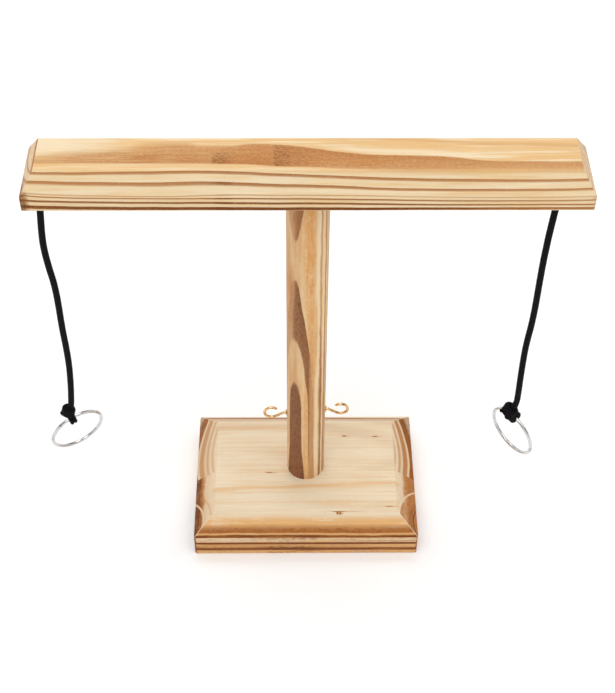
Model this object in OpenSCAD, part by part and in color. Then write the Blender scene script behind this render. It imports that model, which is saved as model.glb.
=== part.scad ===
// Tabletop ring toss: a bevelled wooden base carries a round post and a crossbar,
// two small brass hooks stand out of the post, and two metal rings hang from the
// crossbar's ends on black cords, to be swung onto the hooks.
// Millimetres. +Z is up, the crossbar runs along X and the front looks to -Y.
// The origin is the centre of the base's underside.

/* [Base] */
// Length of the base, along the crossbar
base_l = 150; // [130:1:180]
// Depth of the base, front to back
base_d = 105; // [90:1:130]
// Thickness of the base
base_t = 30; // [26:1:36]
// How far the base's bevel reaches in from each side
base_bevel_run = 14; // [8:0.5:18]
// How far the base's bevel drops below the top face
base_bevel_drop = 11.5; // [6:0.5:16]

/* [Post] */
// Diameter of the round post
post_dia = 25; // [20:1:30]
// Free height of the post, from the base to the crossbar
post_h = 251.5; // [240:0.5:280]

/* [Crossbar] */
// Length of the crossbar
bar_l = 312; // [308:1:340]
// Depth of the crossbar, front to back
bar_d = 43.5; // [36:0.5:60]
// Thickness of the crossbar
bar_t = 22; // [18:1:26]
// How far the crossbar's bevel reaches in from each side
bar_bevel_run = 8; // [4:0.5:10]
// How far the crossbar's bevel drops below the top face
bar_bevel_drop = 13; // [6:0.5:14]

/* [Hooks] */
// Diameter of the brass wire of the hooks and screw eyes
hook_wire = 1.8; // [1.6:0.1:2]
// Radius of the hook's curve, to the middle of the wire
hook_r = 4.6; // [4.2:0.1:5]
// Distance from the post's surface to the middle of the hook's curve
hook_reach = 10.2; // [10:0.1:13]
// Where the hook's tip ends, in degrees round its curve
hook_tip = 128; // [100:1:140]
// Height of the left hook's screw above the table
hook_z_left = 86; // [76:0.5:120]
// Height of the right hook's screw above the table
hook_z_right = 89.5; // [76:0.5:120]

/* [Rings] */
// Outside diameter of a ring
ring_dia = 38; // [34:1:42]
// Diameter of the ring's wire
ring_wire = 2.4; // [2:0.1:2.6]

/* [Cords] */
// Diameter of a cord
cord_dia = 4; // [3:0.1:4.2]
// Distance of the left screw eye from the middle of the crossbar
eye_x_left = 150.5; // [146:0.5:150.5]
// Distance of the right screw eye from the middle of the crossbar
eye_x_right = 140; // [136:0.5:150]

/* [Hidden] */
$fn = 64;

pine = [0.90, 0.75, 0.55];
brass = [0.80, 0.62, 0.30];
nickel = [0.80, 0.80, 0.82];
steel = [0.62, 0.63, 0.66];
cord_black = [0.07, 0.07, 0.08];

// Heights of the stacked wooden pieces
bar_z = base_t + post_h;
bar_top = bar_z + bar_t;

// Wood screw up through the base into the post
base_screw_l = 50;
base_screw_core = 1.7;
base_screw_crest = 2.3;
base_screw_head_r = 4.6;
base_screw_sink = 1;
base_screw_tip_z = base_screw_sink + base_screw_l;

// Double-ended wood screw that joins the post and the crossbar
dowel_screw_core = 2;
dowel_screw_crest = 2.6;
dowel_screw_up = 14;
dowel_screw_down = 24;

// Threads of the hooks and screw eyes, and the hook's collar
thread_core = 0.75;
thread_crest = 1.1;
hook_thread_l = 9;
eye_thread_l = 10;
collar_r = 2.1;
collar_t = 0.9;
hook_straight = 1.9;
hook_bend_r = 3;
joint_swell = 0.05;

// Screw eye: a small closed ring of wire just under the crossbar
wire_r = hook_wire / 2;
eye_r = 3.9;
eye_z = bar_z - eye_r - wire_r - 0.2;
eye_left = [-eye_x_left, 0, eye_z];
eye_right = [eye_x_right, 0, eye_z];

// Cord loop through the screw eye, and the round knot under it
running_gap = 0.3;
eye_loop_cord = 1.5;
eye_loop_r = wire_r + running_gap + eye_loop_cord;
eye_knot_drop = 11.1;
eye_knot_r = 4;

// Ring, and the cord loop round its wire
ring_r = (ring_dia - ring_wire) / 2;
ring_loop_cord = 1.7;
ring_loop_r = ring_wire / 2 + running_gap + 0.05 + ring_loop_cord;

// Where each ring's wire lies in its loop, from the screw eye's centre, and
// how the ring hangs there: its turn about Z, its lean and its roll
hang_left = [-4, 0, -195.5];
hang_right = [-2.2, 0, -195.5];
pose_left = [32, 11, -12];
pose_right = [-53, 7, 5];

// Knot above each ring, from the wire in its loop: place and radius
knot_left = [-1, 0, 8];
knot_left_r = 4.4;
knot_right = [-3.5, 0, 7];
knot_right_r = 5.2;
tail_r = 1.1;

// Routes of the cords from the screw eye's centre: along X, along Y, height
route_left = [[-0.4, 0, -15.4], [-1.0, 0.2, -22], [-1.7, 0.4, -31], [-2.1, 0.5, -40],
              [-1.8, 0.5, -50], [-1.0, 0.4, -60], [0, 0.2, -70], [0.5, 0, -80],
              [0.6, -0.2, -91], [0.5, -0.3, -102], [0.5, -0.4, -113], [0.7, -0.4, -124],
              [0.7, -0.3, -135], [0.4, -0.2, -146], [-0.3, 0, -157], [-1.0, 0, -166],
              [-1.8, 0, -174], [-2.6, 0, -181], [-3.4, 0, -185]];
route_right = [[-0.3, 0, -15.4], [-0.8, -0.2, -24], [-1.3, -0.4, -34], [-1.6, -0.5, -44],
               [-1.8, -0.5, -54], [-1.8, -0.4, -65], [-1.7, -0.2, -76], [-1.6, 0, -87],
               [-1.6, 0.2, -98], [-1.9, 0.3, -109], [-2.5, 0.4, -120], [-2.9, 0.4, -131],
               [-2.9, 0.3, -142], [-2.8, 0.2, -152], [-2.6, 0, -162], [-2.4, 0, -171],
               [-2.4, 0, -179], [-3.2, 0, -185]];
cord_sides = 10;

// Corners of an outline, each cut back and rounded by its own radius
function unit(v) = v / norm(v);
function eased(points, radii, steps = 5) = [
    for (i = [0 : len(points) - 1])
        let (p = points[i],
             a = unit(points[(i + len(points) - 1) % len(points)] - p),
             b = unit(points[(i + 1) % len(points)] - p),
             half = acos(a * b) / 2,
             r = radii[i],
             mid = p + unit(a + b) * r / sin(half),
             from = p + a * r / tan(half) - mid,
             to = p + b * r / tan(half) - mid,
             sweep = 180 - 2 * half,
             turn = cross(from, to) > 0 ? 1 : -1)
            if (r == 0) p
            else for (k = [0 : steps])
                let (angle = turn * sweep * k / steps)
                    mid + [from[0] * cos(angle) - from[1] * sin(angle),
                           from[0] * sin(angle) + from[1] * cos(angle)]];

// Half section of a bevelled board, width w: eased foot, upright side, bevel
function board_outline(w, t, run, drop, foot, arris) = eased(
    [[-w / 2, 0], [w / 2, 0], [w / 2, t - drop], [w / 2 - run, t],
     [run - w / 2, t], [-w / 2, t - drop]],
    [foot, foot, arris, 0.6, 0.6, arris]);

// Board with upright sides and a bevel round its top, mitred at the corners
module bevelled_board(l, d, t, run, drop, foot, arris, corner) {
    intersection() {
        rotate([90, 0, 0])
            linear_extrude(d + 2, center = true)
                polygon(board_outline(l, t, run, drop, foot, arris));
        rotate([90, 0, 90])
            linear_extrude(l + 2, center = true)
                polygon(board_outline(d, t, run, drop, foot, arris));
        linear_extrude(t)
            polygon(eased([[-l / 2, -d / 2], [l / 2, -d / 2], [l / 2, d / 2], [-l / 2, d / 2]],
                          [corner, corner, corner, corner]));
    }
}

// Screw thread along +Z from 0, its last 3 mm tapered to a point
module thread(l, core, crest, pitch = 1.5) {
    turns = floor((l - 3) / pitch);
    rotate_extrude()
        polygon(concat(
            [[0, 0], [core, 0]],
            [for (i = [0 : turns - 1], p = [[core, 0.3], [crest, 0.65], [crest, 0.85], [core, 1.2]])
                [p[0], i * pitch + p[1]]],
            [[core, l - 3], [0, l]]));
}

// Closed ring of round wire about Z
module wire_ring(r, wire) {
    rotate_extrude()
        translate([r, 0]) circle(wire, $fn = 32);
}

// Straight wire of the hook between two points in the XZ plane
module wire_run(from, to) {
    d = to - from;
    translate([from[0], 0, from[1]])
        rotate([0, 90 - atan2(d[1], d[0]), 0])
            cylinder(h = norm(d), r = wire_r, $fn = 32);
}

// Curved wire of the hook about a centre in the XZ plane, between two angles
module wire_arc(centre, r, from, to) {
    translate([centre[0], 0, centre[1]])
        rotate([90, 0, 0])
            rotate([0, 0, from])
                rotate_extrude(angle = to - from)
                    translate([r, 0]) circle(wire_r, $fn = 32);
}

// Hook with its screw axis along X: thread inwards, collar at 0, curve outwards
module cup_hook() {
    centre = [hook_reach, 0.2];
    start = [hook_straight, 0];
    to_centre = centre - start;
    dive = asin(hook_r / norm(to_centre)) - atan2(to_centre[1], to_centre[0]);
    down = [cos(dive), -sin(dive)];
    touch = start + sqrt(to_centre * to_centre - hook_r * hook_r) * down;
    cut = hook_bend_r * tan(dive / 2);
    bend_centre = start - [cut, hook_bend_r];
    tip = centre + hook_r * [cos(hook_tip), sin(hook_tip)];

    rotate([0, -90, 0]) thread(hook_thread_l, thread_core, thread_crest);
    rotate([0, 90, 0]) cylinder(h = collar_t, r1 = collar_r, r2 = collar_r - 0.3, $fn = 48);
    wire_run([collar_t / 2, 0], start - [cut, 0]);
    wire_arc(bend_centre, hook_bend_r, 90 - dive, 90);
    wire_run(start + cut * down, touch);
    wire_arc(centre, hook_r, -90 - dive, hook_tip);
    for (p = [start - [cut, 0], start + cut * down, touch, tip])
        translate([p[0], 0, p[1]]) sphere(wire_r + joint_swell, $fn = 32);
}

module base_board() {
    color(pine)
        difference() {
            bevelled_board(base_l, base_d, base_t, base_bevel_run, base_bevel_drop, 1, 1.2, 2);
            translate([0, 0, -1]) cylinder(h = base_t + 2, r = base_screw_crest + 0.2);
            translate([0, 0, -1]) cylinder(h = base_screw_sink + 1, r = base_screw_head_r + 0.2);
            translate([0, 0, base_screw_sink])
                cylinder(h = base_screw_head_r - base_screw_core,
                         r1 = base_screw_head_r, r2 = base_screw_core);
        }
}

module post() {
    color(pine)
        difference() {
            translate([0, 0, base_t]) cylinder(h = post_h, r = post_dia / 2, $fn = 128);
            translate([0, 0, base_t - 1])
                cylinder(h = base_screw_tip_z - base_t + 1, r = base_screw_crest);
            translate([0, 0, bar_z - dowel_screw_down])
                cylinder(h = dowel_screw_down + 1, r = dowel_screw_crest);
            translate([-post_dia / 2 + hook_thread_l, 0, hook_z_left])
                rotate([0, -90, 0]) cylinder(h = hook_thread_l + 2, r = thread_crest);
            translate([post_dia / 2 - hook_thread_l, 0, hook_z_right])
                rotate([0, 90, 0]) cylinder(h = hook_thread_l + 2, r = thread_crest);
        }
}

module crossbar() {
    color(pine)
        translate([0, 0, bar_z])
            difference() {
                bevelled_board(bar_l, bar_d, bar_t, bar_bevel_run, bar_bevel_drop, 1, 1, 1.5);
                translate([0, 0, -1]) cylinder(h = dowel_screw_up + 1, r = dowel_screw_crest);
                for (x = [-eye_x_left, eye_x_right])
                    translate([x, 0, -1]) cylinder(h = eye_thread_l + 1, r = thread_crest);
            }
}

module base_screw() {
    head_h = base_screw_head_r - base_screw_core;
    color(steel)
        difference() {
            union() {
                translate([0, 0, base_screw_sink])
                    cylinder(h = head_h, r1 = base_screw_head_r, r2 = base_screw_core);
                translate([0, 0, base_screw_sink + head_h])
                    cylinder(h = base_t - base_screw_sink - head_h, r = base_screw_core);
                translate([0, 0, base_t])
                    thread(base_screw_tip_z - base_t, base_screw_core, base_screw_crest, 2);
            }
            for (a = [0, 90])
                rotate([0, 0, a])
                    translate([-2.4, -0.5, base_screw_sink - 1]) cube([4.8, 1, 2.6]);
        }
}

module crossbar_dowel_screw() {
    color(steel)
        translate([0, 0, bar_z]) {
            thread(dowel_screw_up, dowel_screw_core, dowel_screw_crest, 2);
            rotate([180, 0, 0]) thread(dowel_screw_down, dowel_screw_core, dowel_screw_crest, 2);
        }
}

module hook_left() {
    color(brass)
        translate([-post_dia / 2, 0, hook_z_left]) mirror([1, 0, 0]) cup_hook();
}

module hook_right() {
    color(brass)
        translate([post_dia / 2, 0, hook_z_right]) cup_hook();
}

// Closed eye in the XZ plane with its thread up into the crossbar
module screw_eye(centre) {
    color(brass)
        translate(centre) {
            rotate([90, 0, 0]) wire_ring(eye_r, wire_r);
            translate([0, 0, eye_r]) cylinder(h = bar_z - eye_z - eye_r, r = wire_r, $fn = 32);
            translate([0, 0, bar_z - eye_z]) thread(eye_thread_l, thread_core, thread_crest);
        }
}

module screw_eye_left() screw_eye(eye_left);
module screw_eye_right() screw_eye(eye_right);

// Cord loop round the eye's lowest wire, and the round knot that closes it
module eye_knot(centre) {
    color(cord_black)
        translate(centre) {
            translate([0, 0, -eye_r])
                rotate([0, 90, 0]) wire_ring(eye_loop_r, eye_loop_cord);
            translate([0, 0, -eye_knot_drop]) sphere(eye_knot_r, $fn = 48);
        }
}

module eye_knot_left() eye_knot(eye_left);
module eye_knot_right() eye_knot(eye_right);

// Tube along a hanging route: one ring of points at each route point
module cord(centre, route) {
    n = len(route);
    r = cord_dia / 2;
    function along(i) = unit(route[min(i + 1, n - 1)] - route[max(i - 1, 0)]);
    function side(i) = unit(cross([0, 1, 0], along(i)));
    points = [for (i = [0 : n - 1], k = [0 : cord_sides - 1])
        let (a = 360 * k / cord_sides)
            centre + route[i] + r * (cos(a) * side(i) + sin(a) * cross(along(i), side(i)))];
    faces = concat(
        [[for (k = [0 : cord_sides - 1]) k]],
        [for (i = [0 : n - 2], k = [0 : cord_sides - 1])
            let (a = i * cord_sides + k, b = i * cord_sides + (k + 1) % cord_sides)
                [a, a + cord_sides, b + cord_sides, b]],
        [[for (k = [cord_sides - 1 : -1 : 0]) (n - 1) * cord_sides + k]]);
    color(cord_black) polyhedron(points, faces);
}

module cord_left() cord(eye_left, route_left);
module cord_right() cord(eye_right, route_right);

// Places a ring, or the loop round its wire, as the ring hangs
module hung(pose)
    rotate([0, 0, pose[0]]) rotate([pose[1], 0, 0]) rotate([0, pose[2], 0]) children();

// Knot over a ring: a loop round the ring's wire, a round knot and cut ends
module ring_knot(hang, pose, knot, knot_r, tails) {
    color(cord_black)
        translate(hang) {
            hung(pose)
                rotate([0, 90, 0]) wire_ring(ring_loop_r, ring_loop_cord);
            translate(knot) {
                sphere(knot_r, $fn = 48);
                for (t = tails)
                    rotate(t[0]) cylinder(h = knot_r + t[1], r = tail_r, $fn = 32);
            }
        }
}

module ring_knot_left()
    ring_knot(eye_left + hang_left, pose_left, knot_left, knot_left_r,
              [[[0, -118, 10], 3.2], [[0, -98, 20], 2.6]]);
module ring_knot_right()
    ring_knot(eye_right + hang_right, pose_right, knot_right, knot_right_r,
              [[[0, -88, 8], 2.4]]);

// Ring hung by the point of its wire that lies in the loop
module ring(hang, pose) {
    color(nickel)
        translate(hang)
            hung(pose)
                translate([0, 0, -ring_r])
                    rotate([90, 0, 0]) wire_ring(ring_r, ring_wire / 2);
}

module ring_left() ring(eye_left + hang_left, pose_left);
module ring_right() ring(eye_right + hang_right, pose_right);

base_board();
post();
crossbar();
base_screw();
crossbar_dowel_screw();
hook_left();
hook_right();
screw_eye_left();
screw_eye_right();
eye_knot_left();
eye_knot_right();
cord_left();
cord_right();
ring_knot_left();
ring_knot_right();
ring_left();
ring_right();
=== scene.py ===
import math

import bpy
from mathutils import Matrix, Vector


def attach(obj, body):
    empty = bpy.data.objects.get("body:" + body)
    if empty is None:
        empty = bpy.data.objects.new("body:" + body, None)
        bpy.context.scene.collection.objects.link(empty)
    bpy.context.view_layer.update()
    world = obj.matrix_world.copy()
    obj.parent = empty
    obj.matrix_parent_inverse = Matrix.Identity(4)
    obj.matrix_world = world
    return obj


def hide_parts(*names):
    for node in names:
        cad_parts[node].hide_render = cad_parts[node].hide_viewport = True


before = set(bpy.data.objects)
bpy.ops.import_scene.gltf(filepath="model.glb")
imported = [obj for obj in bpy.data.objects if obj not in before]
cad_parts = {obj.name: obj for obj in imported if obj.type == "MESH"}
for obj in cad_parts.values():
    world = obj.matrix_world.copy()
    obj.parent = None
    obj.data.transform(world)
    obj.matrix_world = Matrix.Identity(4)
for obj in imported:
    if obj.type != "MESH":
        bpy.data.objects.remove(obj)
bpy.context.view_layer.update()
print("frame loaded")

mm = 0.001


class Wire:
    # one output of a node, so that node maths reads as plain sums
    def __init__(self, graph, socket):
        self.graph, self.socket = graph, socket

    def __add__(self, other):
        return self.graph.maths("ADD", self, other)

    def __radd__(self, other):
        return self.graph.maths("ADD", other, self)

    def __sub__(self, other):
        return self.graph.maths("SUBTRACT", self, other)

    def __rsub__(self, other):
        return self.graph.maths("SUBTRACT", other, self)

    def __mul__(self, other):
        return self.graph.maths("MULTIPLY", self, other)

    def __rmul__(self, other):
        return self.graph.maths("MULTIPLY", other, self)

    def __truediv__(self, other):
        return self.graph.maths("DIVIDE", self, other)

    def __rtruediv__(self, other):
        return self.graph.maths("DIVIDE", other, self)

    def __pow__(self, other):
        return self.graph.maths("POWER", self, other)

    def __neg__(self):
        return self.graph.maths("MULTIPLY", self, -1)

    def __abs__(self):
        return self.graph.maths("ABSOLUTE", self)

    def ramp(self, low, high, start=0.0, end=1.0, interpolation="LINEAR"):
        # from start to end while the value goes from low to high
        return self.graph.node("ShaderNodeMapRange", {"interpolation_type": interpolation},
                               {0: self, 1: low, 2: high, 3: start, 4: end})

    def spread(self, low, high, start=0.0, end=1.0):
        # the same as a soft step
        return self.ramp(low, high, start, end, "SMOOTHSTEP")

    def near(self, middle, reach, core):
        # 1 where the value is within core of the middle, 0 where it is beyond reach
        return abs(self - middle).spread(reach, core)

    def curve(self, points):
        # a smooth curve through points of (place, level), in their own units
        places, levels = zip(*points)
        first, last, low, high = places[0], places[-1], min(levels), max(levels)
        drawn = [((place - first) / (last - first), (level - low) / (high - low)) for place, level in points]
        share = self.graph.node("ShaderNodeFloatCurve", {"points": drawn}, {"Value": self.ramp(first, last)})
        return share * (high - low) + low

    def ladder(self, low, high, stops):
        # levels at the given places from low to high; the last sum makes the ramp's grey a number
        drawn = [((place - low) / (high - low), level) for place, level in stops]
        return self.graph.node("ShaderNodeValToRGB", {"stops": drawn}, {0: (self - low) / (high - low)}) + 0.0


class Graph:
    # a shader or geometry tree that nodes are added to
    def __init__(self, tree):
        self.tree = tree

    def node(self, kind, settings=None, values=None, output=0):
        node = self.tree.nodes.new(kind)
        for name, value in (settings or {}).items():
            if name == "stops":
                ramp = node.color_ramp
                while len(ramp.elements) < len(value):
                    ramp.elements.new(1)
                for stop, (place, level) in zip(ramp.elements, value):
                    stop.position, stop.color = place, (level, level, level, 1)
            elif name == "points":
                line = node.mapping.curves[0]
                while len(line.points) < len(value):
                    line.points.new(1, 1)
                for point, (place, level) in zip(line.points, value):
                    point.location, point.handle_type = (place, level), "AUTO_CLAMPED"
                node.mapping.update()
            elif name == "captured":
                for label in value:
                    node.capture_items.new("FLOAT", label)
            else:
                setattr(node, name, value)
        for name, value in (values or {}).items():
            if isinstance(value, Wire):
                self.tree.links.new(value.socket, node.inputs[name])
            else:
                node.inputs[name].default_value = value
        if isinstance(output, (list, tuple)):
            return [Wire(self, node.outputs[name]) for name in output]
        return Wire(self, node.outputs[output])

    def maths(self, operation, *values):
        return self.node("ShaderNodeMath", {"operation": operation}, dict(enumerate(values)))

    def speckle(self, x, y, z, detail=2.0, roughness=0.5):
        # noise about 0, from -0.5 to 0.5
        place = self.node("ShaderNodeCombineXYZ", None, {0: x, 1: y, 2: z})
        return self.node("ShaderNodeTexNoise", None,
                         {"Vector": place, "Scale": 1.0, "Detail": detail, "Roughness": roughness}) - 0.5

    def parts(self, vector):
        return self.node("ShaderNodeSeparateXYZ", None, {0: vector}, [0, 1, 2])

    def place(self):
        # where the surface is on its piece, in millimetres
        return [part / mm for part in self.parts(self.node("ShaderNodeTexCoord", output="Object"))]

    def facing(self):
        return self.parts(self.node("ShaderNodeTexCoord", output="Normal"))

    def mix(self, share, first, second):
        return self.node("ShaderNodeMix", {"data_type": "RGBA"}, {0: share, 6: first, 7: second}, 2)

    def surface(self, values):
        finish = self.node("ShaderNodeBsdfPrincipled", None, values)
        self.node("ShaderNodeOutputMaterial", None, {0: finish}, output=[])


def greatest(first, *others):
    # the highest of several masks
    for other in others:
        first = first.graph.maths("MAXIMUM", first, other)
    return first


def startMaterial(name):
    material = bpy.data.materials.new(name)
    material.use_nodes = True
    material.node_tree.nodes.clear()
    return material, Graph(material.node_tree)


def tint(red, green, blue):
    # a colour as seen on screen, from 0 to 255
    return [((c / 255 + 0.055) / 1.055) ** 2.4 for c in (red, green, blue)] + [1.0]


# Camera, matched to the photograph's view: target and distance in millimetres, angles in radians
cameraFit = {"target": (0.509, 0, 149.697), "distance": 863.985, "pitch": 0.8245,
             "yaw": -0.0167, "roll": 0.0101, "lens": 71.93, "sensor": 36.0}


def makeCamera(fit):
    turn = Matrix.Rotation(fit["yaw"], 3, "Z")
    cosPitch, sinPitch = math.cos(fit["pitch"]), math.sin(fit["pitch"])
    cosRoll, sinRoll = math.cos(fit["roll"]), math.sin(fit["roll"])
    look, right, up = (turn @ Vector(way) for way in (
        (0, cosPitch, -sinPitch), (1, 0, 0), (0, sinPitch, cosPitch)))
    rolledRight, rolledUp = cosRoll * right + sinRoll * up, cosRoll * up - sinRoll * right
    data = bpy.data.cameras.new("camera")
    data.lens, data.sensor_width, data.sensor_fit = fit["lens"], fit["sensor"], "AUTO"
    data.clip_start, data.clip_end = 0.01, 20
    camera = bpy.data.objects.new("camera", data)
    place = (Vector(fit["target"]) - look * fit["distance"]) * mm
    camera.matrix_world = Matrix.Translation(place) @ Matrix(
        (rolledRight, rolledUp, -look)).transposed().to_4x4()
    bpy.context.scene.collection.objects.link(camera)
    bpy.context.scene.camera = camera
    print("camera set")


makeCamera(cameraFit)


# Braided cord: crown and dip round off each strand, across it and where it goes under
cordLook = {"diameter": 4.0, "strands": 16, "lay": 2.5, "relief": 0.16, "crown": 3.4, "dip": 1.8, "sides": 64,
            # the darkest colour is painted shade between the strands, the lightest a painted highlight on
            # their crowns
            "step": 0.3, "gapShade": tint(3, 3, 4), "black": tint(10, 10, 12), "lighterCrest": tint(32, 32, 36),
            "fibres": 38.0, "roughness": 0.82, "sheen": 0.015}

# Where each cord hangs from, and its route from there, in millimetres
cordRoutes = {
    "left": {"eye": Vector((-150.5, 0, 276.5)), "hang": Vector((-4, 0, -195.5)), "points": [
        (-0.4, 0, -15.4), (-1.0, 0.2, -22), (-1.7, 0.4, -31), (-2.1, 0.5, -40), (-1.8, 0.5, -50),
        (-1.0, 0.4, -60), (0, 0.2, -70), (0.5, 0, -80), (0.6, -0.2, -91), (0.5, -0.3, -102),
        (0.5, -0.4, -113), (0.7, -0.4, -124), (0.7, -0.3, -135), (0.4, -0.2, -146), (-0.3, 0, -157),
        (-1.0, 0, -166), (-1.8, 0, -174), (-2.6, 0, -181), (-3.4, 0, -185)]},
    "right": {"eye": Vector((140, 0, 276.5)), "hang": Vector((-2.2, 0, -195.5)), "points": [
        (-0.3, 0, -15.4), (-0.8, -0.2, -24), (-1.3, -0.4, -34), (-1.6, -0.5, -44), (-1.8, -0.5, -54),
        (-1.8, -0.4, -65), (-1.7, -0.2, -76), (-1.6, 0, -87), (-1.6, 0.2, -98), (-1.9, 0.3, -109),
        (-2.5, 0.4, -120), (-2.9, 0.4, -131), (-2.9, 0.3, -142), (-2.8, 0.2, -152), (-2.6, 0, -162),
        (-2.4, 0, -171), (-2.4, 0, -179), (-3.2, 0, -185)]},
}


def weave(graph, around, along, strands, lay):
    # height from 0 to 1 of strands that pass over and under each other round a cord
    lines = [around * (strands / 2) + along / lay, around * (strands / 2) - along / lay]
    floors = [graph.maths("FLOOR", line) for line in lines]
    across = [line - floor - 0.5 for line, floor in zip(lines, floors)]
    check = graph.maths("FLOORED_MODULO", floors[0] + floors[1], 2.0)
    square = [a * a for a in across]
    over, under = (
        greatest(1.0 - own * cordLook["crown"], 0.0) * (1.0 - other * cordLook["dip"])
        for own, other in (square, square[::-1]))
    return over * (1 - check) + under * check, across, check


def startTree(name, inputs):
    tree = bpy.data.node_groups.new(name, "GeometryNodeTree")
    tree.interface.new_socket("Geometry", in_out="INPUT", socket_type="NodeSocketGeometry")
    for label, kind in inputs.items():
        tree.interface.new_socket(label, in_out="INPUT", socket_type="NodeSocket" + kind)
    tree.interface.new_socket("Geometry", in_out="OUTPUT", socket_type="NodeSocketGeometry")
    graph, names = Graph(tree), ["Geometry", *inputs]
    return graph, dict(zip(names, graph.node("NodeGroupInput", output=names)))


def endTree(graph, shape, material):
    shape = graph.node("GeometryNodeSetShadeSmooth", None, {"Geometry": shape})
    shape = graph.node("GeometryNodeRealizeInstances", None, {"Geometry": shape})
    shape = graph.node("GeometryNodeSetMaterial", None, {"Geometry": shape, "Material": material})
    graph.node("NodeGroupOutput", None, {"Geometry": shape}, output=[])
    return graph.tree


def circleOf(graph, sides, radius):
    return graph.node("GeometryNodeCurvePrimitiveCircle", None, {"Resolution": sides, "Radius": radius})


def braidedCordTree():
    # a tube along a line of edges, with the strands of a braid raised on it
    graph, given = startTree("braidedCord", {
        "Radius": "Float", "Strands": "Float", "Lay": "Float", "Relief": "Float", "Step": "Float",
        "Sides": "Int", "Material": "Material"})
    line = graph.node("GeometryNodeMeshToCurve", None, {"Mesh": given["Geometry"]})
    line = graph.node("GeometryNodeResampleCurve", {"mode": "LENGTH"},
                      {"Curve": line, "Length": given["Step"]})
    length = graph.node("GeometryNodeSplineParameter", output="Length")
    thickness = graph.node("GeometryNodeInputNamedAttribute", {"data_type": "FLOAT"}, {"Name": "thickness"})
    line, along, swell = graph.node(
        "GeometryNodeCaptureAttribute", {"captured": ["along", "swell"]},
        {"Geometry": line, "along": length, "swell": thickness}, ["Geometry", "along", "swell"])
    circle = circleOf(graph, given["Sides"], given["Radius"])
    turns = graph.node("GeometryNodeSplineParameter", output="Factor")
    circle, around = graph.node("GeometryNodeCaptureAttribute", {"captured": ["around"]},
                                {"Geometry": circle, "around": turns}, ["Geometry", "around"])
    tube = graph.node("GeometryNodeCurveToMesh", None,
                      {"Curve": line, "Profile Curve": circle, "Scale": swell, "Fill Caps": True})
    height = weave(graph, around, along, given["Strands"], given["Lay"])[0]
    normal = graph.node("GeometryNodeInputNormal")
    lift = graph.node("ShaderNodeVectorMath", {"operation": "SCALE"},
                      {0: normal, "Scale": (height - 0.7) * given["Relief"]})
    tube = graph.node("GeometryNodeSetPosition", None, {"Geometry": tube, "Offset": lift})
    angle = around * (2 * math.pi)
    place = graph.node("ShaderNodeCombineXYZ", None, {
        0: graph.maths("COSINE", angle), 1: graph.maths("SINE", angle), 2: along / mm})
    tube = graph.node("GeometryNodeStoreNamedAttribute", {"data_type": "FLOAT_VECTOR"},
                      {"Geometry": tube, "Name": "weave", "Value": place})
    return endTree(graph, tube, given["Material"])


def grow(name, start, tree, inputs):
    # runs a tree on a mesh and keeps what comes out as a plain mesh
    maker = bpy.data.objects.new(name + "Maker", start)
    bpy.context.scene.collection.objects.link(maker)
    modifier = maker.modifiers.new("grow", "NODES")
    modifier.node_group = tree
    for item in tree.interface.items_tree:
        if item.in_out == "INPUT" and item.name in inputs:
            modifier[item.identifier] = inputs[item.name]
    graph = bpy.context.evaluated_depsgraph_get()
    mesh = bpy.data.meshes.new_from_object(maker.evaluated_get(graph), depsgraph=graph)
    maker.modifiers.remove(modifier)
    bpy.data.objects.remove(maker)
    piece = bpy.data.objects.new(name, mesh)
    mesh.name = name
    bpy.context.scene.collection.objects.link(piece)
    print(name, len(mesh.polygons), "faces")
    return piece


def bead(place, swell):
    # a point of a line of cord, with the cord's thickness there
    return (*place, swell)


def smoothLine(points, step):
    # a rounded line through the points, each point being (x, y, z, thickness)
    given = [Vector(p) for p in points]
    given = [2 * given[0] - given[1], *given, 2 * given[-1] - given[-2]]
    line = []
    for a, b, c, d in zip(given, given[1:], given[2:], given[3:]):
        count = max(2, round((Vector(c[:3]) - Vector(b[:3])).length / step))
        for i in range(count):
            t = i / count
            line.append(0.5 * (2 * b + (c - a) * t + (2 * a - 5 * b + 4 * c - d) * t * t
                               + (3 * b - a - 3 * c + d) * t ** 3))
    return [*line, given[-2]]


def growBraid(name, lines, radius, tree, material):
    # braided cord along lines of (x, y, z, thickness), in millimetres
    mesh = bpy.data.meshes.new(name + "Line")
    points, edges = [], []
    for line in lines:
        edges += [(len(points) + i, len(points) + i + 1) for i in range(len(line) - 1)]
        points += line
    mesh.from_pydata([Vector(p[:3]) * mm for p in points], edges, [])
    thickness = mesh.attributes.new("thickness", "FLOAT", "POINT")
    thickness.data.foreach_set("value", [p[3] for p in points])
    return grow(name, mesh, tree, {
        "Radius": radius * mm, "Strands": float(cordLook["strands"]), "Lay": cordLook["lay"] * mm,
        "Relief": cordLook["relief"] * mm, "Step": cordLook["step"] * mm, "Sides": cordLook["sides"],
        "Material": material})


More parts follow.
